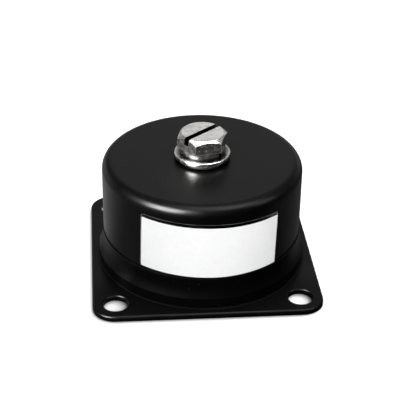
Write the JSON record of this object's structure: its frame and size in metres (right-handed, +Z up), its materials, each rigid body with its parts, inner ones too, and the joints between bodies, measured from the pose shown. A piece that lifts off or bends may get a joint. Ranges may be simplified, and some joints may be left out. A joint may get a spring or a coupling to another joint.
{
  "type": "rubber anti-vibration mount",
  "caption": "Cup-shaped rubber anti-vibration mount with a square bolt-down flange and a bolt on top to hold the equipment.",
  "frame": {"origin": "centre of the base's underside", "axes": "+Z up along the cup's axis, -Y towards the label side"},
  "size_m": [0.065, 0.065, 0.0412],
  "materials": {
    "black_paint": "satin",
    "plated_steel": "bright plated",
    "raw_steel": "turned",
    "rubber": "matte",
    "label_film": "smooth"
  },
  "bodies": {
    "housing": {"housing": "black_paint", "label": "label_film", "base_plate": "black_paint", "outer_ring": "raw_steel", "rubber_element": "rubber"},
    "core": {"core": "raw_steel", "top_buffer": "rubber", "limit_washer": "raw_steel", "bottom_buffer": "rubber", "flat_washer": "plated_steel", "spring_washer": "plated_steel", "bolt": "plated_steel"}
  },
  "joints": [
    {"name": "core_travel", "type": "slide", "parent": "housing", "child": "core", "axis": [0, 0, 1], "range_m": [-0.0008, 0.0015], "stiffness_N_per_m": 20000, "deforming": ["rubber_element"]}
  ]
}
